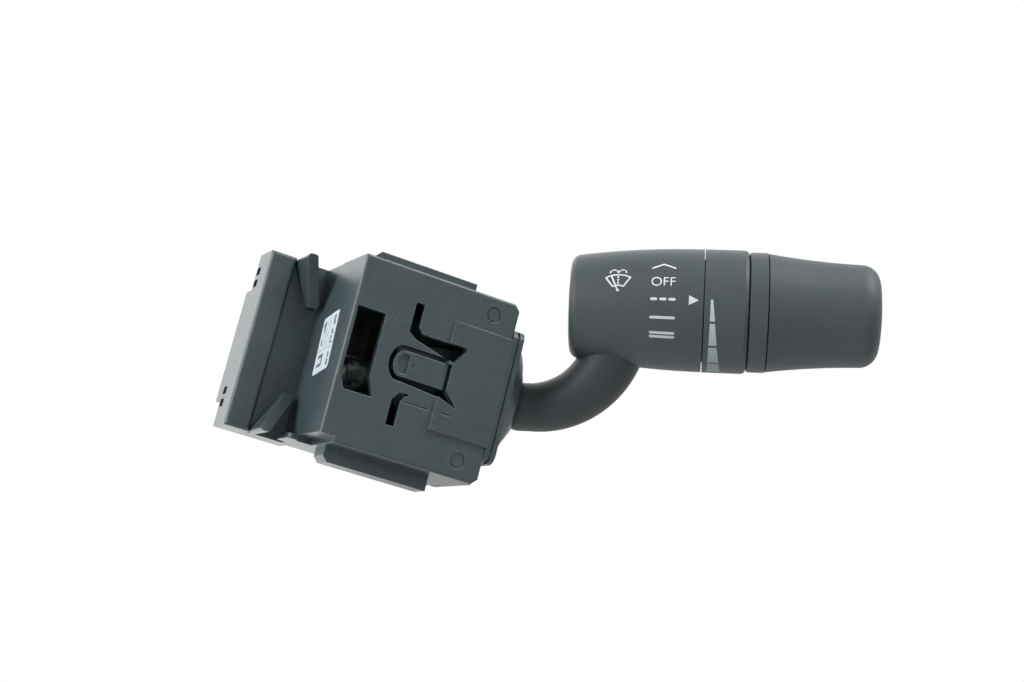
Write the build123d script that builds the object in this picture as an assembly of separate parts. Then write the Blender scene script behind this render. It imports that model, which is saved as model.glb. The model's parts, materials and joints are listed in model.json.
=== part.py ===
"""Combination stalk switch for a steering column: wiper and washer lever.

Millimetres, +Z up. The saved frame has its origin in the middle of the column face; X runs
along the housing towards the lever and Y away from the driver. While the pieces are drawn,
Y = 0 is the front face of the housing. The lever stands at OFF.
"""
from build123d import *
from math import asin, cos, degrees, radians, sin, sqrt
import os

os.makedirs("parts", exist_ok=True)

# ---- housing: outline ----
box_left = 17.3            # outer face of the box on the column side
box_right = 62.4           # outer face of the box on the lever side
box_half_height = 25.0
box_depth = 42.0
seam_depth = 20.0          # front case ends and base case begins here
wall = 2.2
cover_step = 1.0           # base case walls stand this far inside the front case
face_round = 0.7
end_chamfer = 1.6
seam_gap = 0.1
snug = 0.05                # radial play of a running fit
seat_gap = 0.1             # play between pieces that only lie beside each other

# ---- housing: column block, channel and gussets ----
flange_width = 7.2
flange_depth = 12.0
flange_round = 0.9
channel_depth = 9.0        # thickness of the block under the channel
block_half_height = 24.7
end_slot_places = (15.4, 18.9)
end_slot_height = 2.2
end_slot_length = 3.4
end_slot_depth = 1.1
end_slot_middle = 0.8
end_slot_offset = 9.9      # flange front to the middle of a slot
gusset_thickness = 3.0
gusset_round = 0.8
gusset_rise = 10.5         # height of a gusset above the flange front, at its outer end
gusset_foot = 2.0          # the same at its inner end
gusset_reach = 12.5        # distance from the outer edge to the inner end
gusset_slant = 6.0
gusset_bite = 0.4          # how far a gusset reaches into the flange

# ---- housing: slide rails, corner notch, raised pad and rivets ----
rail_start = 22.6
rail_length = 29.7
rail_front = 10.0
rail_thickness = 8.0
rail_height = 4.1
rail_lip = 1.4
notch_width = 4.2          # notch in the lower left-hand corner of the front case
notch_height = 1.7
ear_width = 2.6            # ear of the side wall that closes the notch behind
ear_length = 11.0
ear_lead = 1.4             # ear ahead of the seam
ear_round = 1.2
pad_left = 45.3
pad_top = 15.2
pad_bottom = -14.7
pad_rise = 0.8
rivet_x = 55.4
rivet_z = 20.2
rivet_radius = 1.65
rivet_head = 0.35
rivet_recess = 0.5

# ---- front face: window, fingers and latch ----
window_left = 18.3
window_right = 26.3
window_top = 11.1
window_bottom = -10.9
window_flare = 2.0
window_upper_foot = 5.0    # height of the slanted part, lever side
window_lower_foot = 4.0    # the same on the column side
finger_left = 36.0
finger_groove = 2.4
finger_end = 50.7
finger_flare = 3.2
finger_corner = 1.5
groove_lead = 1.9
groove_toe = 1.2
groove_tip = 3.0
groove_round = 0.5
slit_width = 0.4
slit_depth = 0.4
slit_margin = 1.2
slit_inset = 1.3
short_slit_start = 47.0
short_slit_length = 3.0
upper_finger_top = 16.7
upper_finger_bottom = 9.0
upper_slot_floor = 4.1
lower_finger_top = -8.3
lower_finger_bottom = -15.4
lower_finger_right = 45.3
latch_left = 31.5
latch_root = 46.0
latch_half_height = 3.5
latch_thickness = 1.8
latch_gap = 1.3
latch_slot_end = 51.3
latch_slot_floor = -7.5
latch_slot_knee = -5.7
latch_nose = 0.7           # length of the round tip as a share of the half height
latch_grip_length = 4.2
latch_grip_depth = 0.9
latch_tick = 1.3
latch_hook = 0.9
latch_flex = 4.0           # degrees

# ---- housing: connector ----
shroud_wall = 1.5
shroud_rise = 5.0          # how far the shroud stands behind the box
shroud_round = 1.0
socket_width = 8.4
socket_low = -16.0
socket_high = 13.0
socket_depth = 12.0
pin_rows = 2
pins_per_row = 8
pin_pitch = 3.5
pin_row_gap = 3.4
pin_size = 0.8
pin_height = 5.4
pin_root = 1.2

# ---- gimbal ----
pivot_x = 54.0
pivot_y = box_depth / 2
pivot_z = 1.5
rest_tilt = 10.0           # tilt of the carrier at OFF, degrees
select_step = 5.5          # one wiper position, degrees
pull_angle = 7.0           # washer pull, degrees
trunnion_radius = 3.0
trunnion_boss = 5.4
trunnion_boss_length = 4.2
carrier_half_width = 10.4
carrier_half_height = 8.8
carrier_side = 2.4
carrier_cheek = 2.8
carrier_back = 18.0
carrier_inner_back = 15.5
carrier_front = 4.6
carrier_side_front = 3.8
hub_radius = 6.0
hub_gap = 0.3
pivot_pin_radius = 2.5
tail_end = 12.8
tail_half = 3.4
plunger_radius = 2.8
plunger_reach = 32.3       # from the pivot to the tip
plunger_length = 9.4
plunger_sleeve = 4.4
plunger_sleeve_end = 29.2
sleeve_overlap = 0.5
plunger_travel = 0.9
return_radius = 1.9
return_reach = 15.2
return_length = 7.6
return_travel = 0.7
spring_wire = 0.35
spring_radius = 1.15
spring_turns = 5
wire_sides = 4
spring_seat = 2.0          # plastic left behind the end of a spring
yoke_round = 2.0
drive_arm_margin = 2.6

# ---- detent plate and wiper contacts ----
detent_depth = 0.75        # valley below the plunger tip
detent_width = 12.0
detent_margin = 3.2
drive_arm = 20.0           # pivot to drive pin
drive_pin_radius = 1.5
drive_play = 0.15
slider_web = 0.8
slider_round = 1.2
slot_spare = 0.5
track_margin = 1.5
brush_margin = 1.0
slider_width = 15.0
slider_height = 12.0
slider_thickness = 4.2
board_thickness = 1.6
board_width = 22.0
board_height = 33.0
track_height = 0.3
track_width = 1.8
track_count = 4
track_pitch = 4.2
brush_thickness = 0.4

# ---- end bezel and shutter dome ----
bezel_rim = 1.2            # plate beyond the room for the dome
bezel_front_half = 18.5     # the plate is narrower at the front
bezel_step = 9.5
bezel_shoulder = 13.0
bezel_plate = 1.3
bezel_gap = 0.6
bezel_corner = 3.0
dome_radius = 22.0
dome_thickness = 1.6
dome_gap = 0.4
bezel_mouth = 16.3         # radius of the opening the dome shows through
hood_wall = 1.0
dome_cover = 1.0           # dome beyond the mouth at each end of travel, degrees

# ---- lever: arm ----
root_yaw = -15.9           # direction from the pivot to the arm's exit, degrees
root_rise = 0.0
head_yaw = -29.5           # direction of the head's axis, degrees
head_rise = 10.4
head_roll = 13.3
arm_exit_radius = 6.65
arm_head_radius = 8.6
arm_lead = 3.0
arm_bend_radius = 22.9
arm_bend_angle = 76.0
arm_bore = 3.6
spigot_radius = 5.0
spigot_start = 10.3
boss_radius = 7.2
boss_start = 8.8
neck_radius = 4.7
lead_radius = 1.6

# ---- lever: head, along its axis ----
head_offset = 28.3         # arm's exit line to the head's axis
head_reach = 49.2          # arm's exit to the joint between barrel and dial
barrel_length = 36.0
barrel_small_radius = 13.9
barrel_large_radius = 16.8
barrel_end_round = 2.6
shell = 2.0
line_gap = 0.3
dial_length = 11.6
dial_radius = 16.85
dial_wall = 2.6
dial_web = 2.0
dial_web_gap = 3.2         # plate to web
dial_bevel = 0.9
dial_bevel_width = 0.45
dial_sweep = 78.0          # degrees
ring_length = 4.9
ring_radius = 16.35
ring_bevel = 0.4
cap_length = 30.0
cap_radius = 16.15
cap_end_radius = 13.9
cap_round = 5.0
core_radius = 9.0
core_bore = 5.0
core_into_cap = 8.0
core_into_barrel = 27.0
dial_board_thickness = 1.2
dial_board_radius = 14.0
dial_foot_width = 1.2
dial_foot_length = 1.6
detent_notches = 9
notch_radius = 1.1
ball_radius = 0.9
ball_arm_width = 1.6
ball_arm_thickness = 1.2
ball_arm_inset = 0.4

front_y = 0.0
flange_front = box_depth - flange_depth
channel_floor = box_depth - channel_depth
shroud_back = box_depth + shroud_rise
socket_left = shroud_wall
socket_floor = shroud_back - socket_depth
bezel_half_height = dome_radius + dome_gap + bezel_rim
pivot = Vector(pivot_x, pivot_y, pivot_z)


# ---- helpers ----
def block(x0, x1, y0, y1, z0, z1):
    """Box between two corners."""
    return Pos((x0 + x1) / 2, (y0 + y1) / 2, (z0 + z1) / 2) * Box(x1 - x0, y1 - y0, z1 - z0)


def slab(outline, y0, y1):
    """Outline drawn in X and Z, made solid from y0 to y1."""
    return extrude(Plane.XZ.offset(-y0) * outline, amount=y0 - y1)


def outline(*points):
    """Closed straight-sided face."""
    return make_face(Polyline(*points, close=True))


def turned(profile):
    """Solid of revolution of a face drawn as (radius, height)."""
    return revolve(Plane.XZ * profile, Axis.Z)


def ring(outer, inner, z0, z1):
    """Plain tube about Z."""
    return extrude(Plane.XY.offset(z0) * (Circle(outer) - Circle(inner)), amount=z1 - z0)


def disc(radius, z0, z1):
    """Plain cylinder about Z."""
    return extrude(Plane.XY.offset(z0) * Circle(radius), amount=z1 - z0)


def rod_y(radius, x, z, y0, y1):
    """Cylinder along Y."""
    return slab(Pos(x, z) * Circle(radius), y0, y1)


def direction(yaw, rise):
    """Unit vector from a heading and a rise, in degrees."""
    flat = cos(radians(rise))
    return Vector(flat * cos(radians(yaw)), flat * sin(radians(yaw)), sin(radians(rise)))


def save(shape, name):
    """Write one node in the frame of the column face."""
    face_middle = (flange_front + box_depth) / 2
    export_step(Pos(0, -face_middle, 0) * shape, f"parts/{name}.step")


# ---- frames ----
tilt = radians(rest_tilt)
carrier_frame = Plane(origin=pivot, x_dir=(cos(tilt), 0, sin(tilt)), z_dir=(-sin(tilt), 0, cos(tilt)))
root_axis = direction(root_yaw, root_rise)
root_frame = Plane(origin=pivot, x_dir=(0, 0, 1), z_dir=root_axis)
arm_exit = pivot + root_axis * dome_radius
head_axis = direction(head_yaw, head_rise)
level_up = direction(head_yaw, head_rise + 90)
head_up = level_up.rotate(Axis((0, 0, 0), head_axis), head_roll)
arm_frame = Plane(origin=arm_exit, x_dir=head_axis, z_dir=head_up)
head_origin = arm_exit + head_axis * head_reach + head_up * head_offset
head_frame = Plane(origin=head_origin, x_dir=head_up, z_dir=head_axis)

inner_left = box_left + wall
inner_right = box_right - wall
inner_top = box_half_height - wall
base_half_height = box_half_height - cover_step
base_inner_top = base_half_height - wall
back_inner = box_depth - wall
latch_axis_y = front_y + latch_thickness / 2
board_back = back_inner - seat_gap
board_front = board_back - board_thickness
slider_back = board_front - track_height - seat_gap
slider_front = slider_back - slider_thickness
slider_x = pivot_x - drive_arm
slider_z = pivot_z - drive_arm * sin(tilt)
slot_floor = slider_back - brush_thickness - slider_web
bezel_outer = box_right + 2 * bezel_plate + bezel_gap


# ---- front case ----
def finger_grooves():
    """Cuts that free the two guide fingers on the front face."""
    left = finger_left - finger_groove
    upper = outline(
        (left, upper_finger_top),
        (finger_left, upper_finger_top),
        (finger_left, upper_finger_bottom + finger_corner),
        (finger_left + finger_corner, upper_finger_bottom),
        (finger_end, upper_finger_bottom),
        (finger_end - finger_flare, upper_slot_floor),
        (finger_left, upper_finger_bottom - groove_lead),
        (left, upper_finger_bottom - slit_width),
    )
    lower = outline(
        (left, lower_finger_bottom - groove_toe),
        (left, lower_finger_top - finger_corner),
        (left + finger_corner, lower_finger_top + groove_toe / 2),
        (finger_left + groove_tip, lower_finger_top + groove_toe),
        (finger_left + finger_corner / 2, lower_finger_top),
        (finger_left, lower_finger_top - finger_corner),
        (finger_left, lower_finger_bottom - groove_toe),
    )
    return fillet(upper.vertices(), groove_round) + fillet(lower.vertices(), groove_round / 2)


def latch_outline(margin):
    """Tongue with a round tip at its left end."""
    half = latch_half_height + margin
    tip = latch_left - margin
    nose = half * latch_nose
    body = Pos((tip + nose + latch_root) / 2, 0) * Rectangle(latch_root - tip - nose, 2 * half)
    return body + Pos(tip + nose, 0) * Ellipse(nose, half)


def latch_pocket():
    """Opening round the tongue, with the slanted slot below its root."""
    edge = -latch_half_height - latch_gap
    slot = outline(
        (latch_left + latch_half_height, -latch_half_height),
        (latch_root + latch_gap, -latch_half_height),
        (latch_slot_end, latch_slot_floor),
        (latch_root, latch_slot_knee),
        (latch_left + latch_half_height, edge),
    )
    reach = Pos(latch_root + latch_gap / 2, 0) * Rectangle(latch_gap, 2 * latch_half_height)
    return latch_outline(latch_gap) + slot + reach


def slit(x0, x1, z, level):
    """Shallow groove along X, cut in from the given level."""
    return block(x0, x1, level - 1, level + slit_depth, z - slit_width / 2, z + slit_width / 2)


def window():
    """Opening over the selector detent."""
    return outline(
        (window_left, window_top),
        (window_right, window_top),
        (window_right, window_bottom + window_upper_foot),
        (window_right + window_flare, window_bottom),
        (window_left + window_flare, window_bottom),
        (window_left, window_bottom + window_lower_foot),
    )


def front_outline():
    """Front face with its two right-hand corners cut off."""
    top = box_half_height
    cut = end_chamfer
    return outline(
        (box_left, top),
        (box_right - cut, top),
        (box_right, top - cut),
        (box_right, cut - top),
        (box_right - cut, -top),
        (box_left, -top),
    )


def rail(side):
    """Slide rail along the top (side 1) or bottom (side -1) wall."""
    foot = side * (box_half_height - face_round)
    tip = side * (box_half_height + rail_height)
    x1 = rail_start + rail_length
    plan = outline(
        (rail_start, foot),
        (rail_start, tip - side * rail_lip),
        (rail_start + rail_lip, tip),
        (x1, tip),
        (x1, foot),
    )
    return slab(plan, rail_front, rail_front + rail_thickness)


def corner_notch():
    """Open notch in the lower left-hand corner of the front case."""
    return block(
        box_left - 1, box_left + notch_width, front_y - 1, seam_depth - ear_lead,
        -box_half_height - 1, -box_half_height + notch_height,
    )


def corner_ear():
    """Rounded ear at the foot of the side wall, behind the notch."""
    start = seam_depth - ear_lead
    ear = block(
        box_left - ear_width, box_left, start, start + ear_length,
        -block_half_height, -box_half_height + notch_height,
    )
    outer = ear.edges().filter_by(Axis.Z).group_by(Axis.X)[0]
    return fillet(outer, ear_round)


def rivet_places():
    """Centres of the two heat-staked pins."""
    return [(rivet_x, rivet_z), (rivet_x, -rivet_z)]


def trunnion_seat(y0, y1):
    """Boss that carries a trunnion of the gimbal."""
    return rod_y(trunnion_boss, pivot_x, pivot_z, y0, y1)


def end_opening():
    """Room for the dome and the lever in the lever end of the cases."""
    half_z = sqrt(dome_radius ** 2 - (inner_right - pivot_x) ** 2) + dome_gap
    half_y = pivot_y - wall - seat_gap
    return block(
        inner_right - 1, box_right + 1,
        pivot_y - half_y, pivot_y + half_y,
        pivot_z - half_z, pivot_z + half_z,
    )


def make_front_case():
    """Front half of the housing."""
    shell_body = slab(front_outline(), front_y, seam_depth)
    rim = shell_body.faces().sort_by(Axis.Y)[0].edges()
    shell_body = fillet(rim, face_round)
    shell_body += block(box_left, box_left + wall, seam_depth, channel_floor - seam_gap,
                        -block_half_height, block_half_height)
    shell_body += rail(1) + rail(-1) + corner_ear()
    shell_body += block(pad_left, box_right, front_y - pad_rise, front_y + face_round, pad_bottom, pad_top)
    cavity = block(inner_left, inner_right, front_y + wall, box_depth, -inner_top, inner_top)
    shell_body -= cavity
    shell_body -= end_opening() + corner_notch()
    shell_body -= slab(window() + finger_grooves() + latch_pocket(), front_y - 2, front_y + wall + 1)
    slit_z = lower_finger_top - slit_inset
    shell_body -= slit(finger_left + slit_margin, lower_finger_right - slit_margin, slit_z, front_y)
    shell_body -= slit(short_slit_start, short_slit_start + short_slit_length, slit_z, front_y - pad_rise)
    shell_body += trunnion_seat(front_y + wall - snug, front_y + wall + trunnion_boss_length)
    bore_start = front_y + wall
    shell_body -= rod_y(trunnion_radius + snug, pivot_x, pivot_z, bore_start, bore_start + 2 * trunnion_boss_length)
    for x, z in rivet_places():
        shell_body -= rod_y(rivet_radius + rivet_recess, x, z, front_y - 1, front_y + rivet_recess)
        shell_body -= rod_y(rivet_radius, x, z, front_y - 1, front_y + wall + 1)
    return shell_body


# ---- base case ----
def gusset(side):
    """Slanted web that ties the flange to the channel, taller at its outer end."""
    outer = block_half_height
    inner = block_half_height - gusset_reach
    x0 = flange_width - gusset_bite
    x1 = flange_width + gusset_slant
    plan = outline(
        (x0, side * outer),
        (x0 + gusset_thickness, side * outer),
        (x1 + gusset_thickness, side * inner),
        (x1, side * inner),
    )
    plan = fillet(plan.vertices(), gusset_round)
    web = slab(plan, flange_front - gusset_rise, channel_floor + 1)
    crest = Plane.YZ.offset(0) * outline(
        (flange_front - gusset_rise - 1, side * (outer + 1)),
        (flange_front - gusset_rise, side * outer),
        (flange_front - gusset_foot, side * inner),
        (flange_front - gusset_foot, side * (inner - 1)),
        (flange_front - gusset_rise - 1, side * (inner - 1)),
    )
    return web - extrude(crest, amount=box_left)


def socket_cavity():
    """Hollow of the connector socket, open at the back."""
    return block(
        socket_left, socket_left + socket_width,
        socket_floor, shroud_back + 1,
        socket_low, socket_high,
    )


def make_shroud():
    """Wall of the connector, standing behind the column block."""
    shroud = block(
        0, socket_left + socket_width + shroud_wall,
        channel_floor + 1, shroud_back,
        socket_low - shroud_wall, socket_high + shroud_wall,
    )
    return fillet(shroud.edges().filter_by(Axis.X).group_by(Axis.Y)[-1], shroud_round)


def end_slots():
    """Pockets in the column face, two near each end."""
    y = flange_front + end_slot_offset
    cuts = Part()
    for side in (1, -1):
        for place in end_slot_places:
            z = end_slot_middle + side * place
            cuts += block(
                -1, end_slot_depth, y - end_slot_length / 2, y + end_slot_length / 2,
                z - end_slot_height / 2, z + end_slot_height / 2,
            )
    return cuts


def pin_places():
    """Pins of the connector as (x, z)."""
    x_mid = socket_left + socket_width / 2
    z_mid = (socket_low + socket_high) / 2
    return [
        (x_mid + (row - (pin_rows - 1) / 2) * pin_row_gap, z_mid + (n - (pins_per_row - 1) / 2) * pin_pitch)
        for row in range(pin_rows)
        for n in range(pins_per_row)
    ]


def make_base_case():
    """Rear half of the housing with the column block."""
    half = base_half_height
    box = block(inner_left, box_right, seam_depth + seam_gap, box_depth, -half, half)
    cavity = block(inner_left, inner_right, seam_depth - 1, back_inner, -base_inner_top, base_inner_top)
    column_block = block(0, box_left + wall, channel_floor, box_depth, -block_half_height, block_half_height)
    flange = block(0, flange_width, flange_front, box_depth, -block_half_height, block_half_height)
    flange = fillet(flange.faces().sort_by(Axis.Y)[0].edges(), flange_round)
    body = box + column_block + flange
    body += make_shroud()
    body += gusset(1) + gusset(-1)
    body -= end_slots()
    body -= cavity
    body -= end_opening()
    body -= socket_cavity()
    seat_front = back_inner - trunnion_boss_length
    body += trunnion_seat(seat_front, back_inner + snug)
    body -= rod_y(trunnion_radius + snug, pivot_x, pivot_z, seat_front - 1, back_inner)
    half_pin = pin_size / 2
    for x, z in pin_places():
        body -= block(x - half_pin, x + half_pin, socket_floor - pin_root, socket_floor + 1, z - half_pin, z + half_pin)
    return body


def make_rivets():
    """Two heat-staked pins that hold the front case on."""
    pins = Part()
    for x, z in rivet_places():
        stem = rod_y(rivet_radius, x, z, front_y + rivet_head, front_y + wall + rivet_recess)
        pins += stem
    return pins


def make_terminal_pins():
    """Blade terminals standing in the socket."""
    blades = Part()
    half = pin_size / 2
    for x, z in pin_places():
        blade = block(x - half, x + half, socket_floor - pin_root, socket_floor + pin_height, z - half, z + half)
        blades += chamfer(blade.faces().sort_by(Axis.Y)[-1].edges(), half / 2)
    return blades


# ---- latch tongue ----
def make_latch_tongue():
    """Sprung tongue of the front face, with a thumb recess and a hook behind its tip."""
    body = slab(latch_outline(0), front_y, front_y + latch_thickness)
    root = Pos(latch_root, latch_axis_y, 0) * Cylinder(latch_thickness / 2, 2 * latch_half_height)
    recess_end = latch_left + latch_grip_length
    inset = latch_outline(-latch_grip_depth) & (
        Pos(recess_end - latch_grip_length / 2, 0) * Rectangle(latch_grip_length, 4 * latch_half_height)
    )
    body -= slab(inset, front_y - 1, front_y + latch_grip_depth)
    tick = Pos(recess_end + slit_inset, 0) * Rectangle(slit_width, latch_tick)
    body -= slab(tick, front_y - 1, front_y + slit_depth)
    hook = slab(latch_outline(0), front_y + latch_thickness, front_y + latch_thickness + latch_hook)
    hook &= block(latch_left - 1, recess_end, front_y, 2 * wall + latch_hook, -box_half_height, box_half_height)
    return body + root + hook


# ---- gimbal carrier and selector ----
def bar_x(radius, x0, x1):
    """Cylinder along the carrier's own X."""
    return Pos((x0 + x1) / 2, 0, 0) * Rot(0, 90, 0) * Cylinder(radius, x1 - x0)


def make_gimbal_carrier():
    """Yoke that turns on the trunnions and carries the lever's pivot pin."""
    w = carrier_half_width
    h = carrier_half_height
    yoke = block(-carrier_back, carrier_front, -w, w, -h, h)
    yoke = fillet(yoke.edges().filter_by(Axis.Y).group_by(Axis.X)[0], yoke_round)
    yoke -= block(
        -carrier_inner_back, carrier_front + 1,
        carrier_side - w, w - carrier_side,
        carrier_cheek - h, h - carrier_cheek,
    )
    yoke -= block(carrier_side_front, carrier_front + 1, -w - 1, w + 1, carrier_cheek - h, h - carrier_cheek)
    yoke += bar_x(plunger_sleeve, -plunger_sleeve_end, -carrier_back + sleeve_overlap)
    yoke -= bar_x(plunger_radius + snug, -plunger_sleeve_end - 1, -carrier_back - spring_seat)
    yoke -= disc(pivot_pin_radius, -h - 1, h + 1)
    yoke -= Pos(-carrier_inner_back, 0, 0) * Sphere(return_radius + dome_gap / 2)
    yoke = carrier_frame * yoke
    end_front = front_y + wall + seat_gap
    end_back = back_inner - seat_gap
    yoke += rod_y(trunnion_radius, pivot_x, pivot_z, end_front, pivot_y - w + carrier_side / 2)
    yoke += rod_y(trunnion_radius, pivot_x, pivot_z, pivot_y + w - carrier_side / 2, end_back)
    arm_x = pivot_x - drive_arm * cos(tilt)
    arm_z = slider_z
    yoke += carrier_frame * block(
        -drive_arm - drive_arm_margin, -carrier_back + 1,
        w - carrier_side, w,
        -drive_arm_margin, drive_arm_margin,
    )
    yoke += rod_y(drive_pin_radius, arm_x, arm_z, pivot_y + w - carrier_side / 2, slot_floor - 2 * seat_gap)
    return yoke


def coil(radius, length, turns, wire):
    """Helical spring along Z, from 0 to its length."""
    rise = length - 2 * wire
    path = Pos(0, 0, wire) * Helix(pitch=rise / turns, height=rise, radius=radius)
    section = Plane(origin=path @ 0, z_dir=path % 0) * RegularPolygon(wire, wire_sides)
    return sweep(section, path=path)


def plunger(radius, reach, length):
    """Spring plunger pointing along the carrier's -X with a round tip and a hollow back."""
    tip = -reach
    centre = tip + radius
    body = bar_x(radius, centre, tip + length) + Pos(centre, 0, 0) * Sphere(radius)
    bore = spring_radius + 2 * spring_wire + snug
    return body - bar_x(min(bore, radius - spring_wire), tip + length / 2, tip + length + 1)


def make_select_plunger():
    """Detent plunger of the wiper positions."""
    return carrier_frame * plunger(plunger_radius, plunger_reach, plunger_length)


def spring_between(x_back, reach, length, travel):
    """Coil from the bottom of its bore to just short of the plunger's own bore end."""
    x_front = -reach + length / 2 + travel + seat_gap
    span = x_back - x_front
    return Pos(x_back, 0, 0) * Rot(0, -90, 0) * coil(spring_radius, span, spring_turns, spring_wire)


def make_select_spring():
    """Spring behind the detent plunger."""
    return carrier_frame * spring_between(-carrier_back - spring_seat, plunger_reach, plunger_length, plunger_travel)


def make_pivot_pin():
    """Pin the lever is pulled about."""
    h = carrier_half_height
    return carrier_frame * disc(pivot_pin_radius, -h, h)


def detent_angles():
    """Carrier tilt at MIST, OFF, INT, LO and HI."""
    return [rest_tilt + select_step - select_step * n for n in range(5)]


def make_detent_plate():
    """Notched plate the plunger runs on."""
    ridge = plunger_reach + 2 * seat_gap
    low, high = detent_angles()[-1] - select_step, detent_angles()[0] + select_step / 2
    z_top = pivot_z - ridge * sin(radians(low))
    z_low = pivot_z - ridge * sin(radians(high))
    y0 = pivot_y - detent_width / 2
    plate = block(inner_left, inner_left + detent_margin, y0, y0 + detent_width, z_low, z_top)
    plate -= rod_y(ridge, pivot_x, pivot_z, y0 - 1, y0 + detent_width + 1)
    tip_path = plunger_reach + detent_depth - plunger_radius - seat_gap
    for angle in detent_angles():
        x = pivot_x - tip_path * cos(radians(angle))
        z = pivot_z - tip_path * sin(radians(angle))
        plate -= rod_y(plunger_radius + seat_gap, x, z, y0 - 1, y0 + detent_width + 1)
    return plate


# ---- wiper contacts ----
def make_contact_board():
    """Insulating board on the back wall of the base case."""
    half_w = board_width / 2
    half_h = board_height / 2
    return block(slider_x - half_w, slider_x + half_w, board_front, board_back, -half_h, half_h)


def track_places():
    """Middle lines of the contact tracks, in X."""
    return [slider_x + (n - (track_count - 1) / 2) * track_pitch for n in range(track_count)]


def make_contact_tracks():
    """Metal tracks on the board, each broken where a wiper position ends."""
    tracks = Part()
    half = track_width / 2
    reach = board_height / 2 - track_margin
    for n, x in enumerate(track_places()):
        strip = block(x - half, x + half, board_front - track_height, board_front, -reach, reach)
        gap_z = -reach + (n + 1) * 2 * reach / (track_count + 1)
        tracks += strip - block(x - track_width, x + track_width, slider_back, board_back, gap_z, gap_z + track_width)
    return tracks


def make_contact_slider():
    """Carriage the drive pin moves up and down the board."""
    x0 = slider_x - slider_width / 2
    z0 = slider_z - slider_height / 2
    carriage = block(x0, x0 + slider_width, slider_front, slider_back - brush_thickness, z0, z0 + slider_height)
    carriage = fillet(carriage.edges().filter_by(Axis.Y), slider_round)
    pin_x = pivot_x - drive_arm * cos(tilt)
    room = drive_pin_radius + drive_play
    drift = pin_x - slider_x + drive_play + slot_spare
    slot = Pos((pin_x + slider_x) / 2, slider_z) * SlotOverall(2 * (room + drift), 2 * room)
    return carriage - slab(slot, slider_front - 1, slot_floor)


def make_slider_brushes():
    """Spring contacts under the carriage."""
    brushes = Part()
    half = track_width / 2
    reach = slider_height / 2 - brush_margin
    for x in track_places():
        brushes += block(x - half, x + half, slider_back - brush_thickness, slider_back, slider_z - reach, slider_z + reach)
    return brushes


# ---- bezel and dome ----
def bezel_face(inset=0):
    """End plate outline in Y and Z, made smaller all round by the inset."""
    front = front_y + inset
    back = box_depth - inset
    half = bezel_half_height - inset
    narrow = bezel_front_half - inset
    step = front_y + bezel_step
    shoulder = front_y + bezel_shoulder
    plate = outline(
        (front, narrow), (step, narrow), (shoulder, half), (back, half),
        (back, -half), (shoulder, -half), (step, -narrow), (front, -narrow),
    )
    corners = plate.vertices().group_by(Axis.X)
    return fillet(corners[0] + corners[-1], bezel_corner - inset)


def ball_zone(radius, x0, x1):
    """Solid slice of a ball about the pivot, between two planes across X."""
    low = x0 - pivot_x
    high = x1 - pivot_x
    wide = sqrt(radius ** 2 - low ** 2)
    narrow = sqrt(radius ** 2 - high ** 2)
    arc = RadiusArc((wide, low), (narrow, high), -radius)
    section = make_face([
        Line((0, low), (wide, low)), arc,
        Line((narrow, high), (0, high)), Line((0, high), (0, low)),
    ])
    return Plane(origin=pivot, x_dir=(0, 1, 0), z_dir=(1, 0, 0)) * turned(section)


def make_end_bezel():
    """Double end plate with a hood that hugs the dome."""
    bezel = extrude(Plane.YZ.offset(box_right) * bezel_face(), amount=bezel_outer - box_right)
    rim = bezel_face() - bezel_face(bezel_gap)
    bezel -= extrude(Plane.YZ.offset(box_right + bezel_plate) * rim, amount=bezel_gap)
    ball_room = dome_radius + dome_gap
    mouth_x = pivot_x + sqrt(ball_room ** 2 - bezel_mouth ** 2)
    hood = ball_zone(ball_room + hood_wall, bezel_outer - bezel_plate / 2, mouth_x)
    room = ball_zone(ball_room, box_right - 1, mouth_x + 1)
    half_y = pivot_y - wall - seat_gap
    cheeks = block(0, mouth_x + 2, -box_depth, pivot_y - half_y, -box_depth, box_depth)
    cheeks += block(0, mouth_x + 2, pivot_y + half_y, 2 * box_depth, -box_depth, box_depth)
    return bezel + hood - (room - cheeks)


def make_shutter_dome():
    """Ball-shaped cover that moves with the lever and keeps the mouth closed."""
    mouth = degrees(asin(bezel_mouth / (dome_radius + dome_gap)))
    reach = mouth + dome_cover
    ball = Sphere(dome_radius) - Sphere(dome_radius - dome_thickness)
    up = reach + 3 * select_step
    down = reach + select_step
    back = reach + pull_angle
    size = 4 * dome_radius
    above = Pos(0, 0, size / 2) * Box(size, size, size)
    beyond = Pos(0, size / 2, 0) * Box(size, size, size)
    ball -= Rot(0, -up, 0) * above
    ball -= Rot(0, down + 180, 0) * above
    ball -= Rot(0, 0, back) * beyond
    ball -= Rot(0, 0, 180 - reach) * beyond
    ball -= Pos(-size / 2, 0, 0) * Box(size, size, size)
    ball = Pos(pivot_x, pivot_y, pivot_z) * ball
    return ball - root_frame * disc(spigot_radius, 0, 2 * dome_radius)


# ---- lever: root and arm ----
def arm_bend(radius_start, radius_end):
    """Curved length of the arm, thicker towards the head."""
    start = Plane(origin=(arm_lead, 0, 0), x_dir=(0, 1, 0), z_dir=(1, 0, 0))
    turn = radians(arm_bend_angle)
    end_point = (arm_lead + arm_bend_radius * sin(turn), 0, arm_bend_radius * (1 - cos(turn)))
    end = Plane(origin=end_point, x_dir=(0, 1, 0), z_dir=(cos(turn), 0, sin(turn)))
    path = TangentArc((arm_lead, 0, 0), end_point, tangent=(1, 0, 0))
    sections = [start * Circle(radius_start), end * Circle(radius_end)]
    if radius_start == radius_end:
        return sweep(sections[0], path=path)
    return sweep(sections, path=path, multisection=True)


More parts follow.
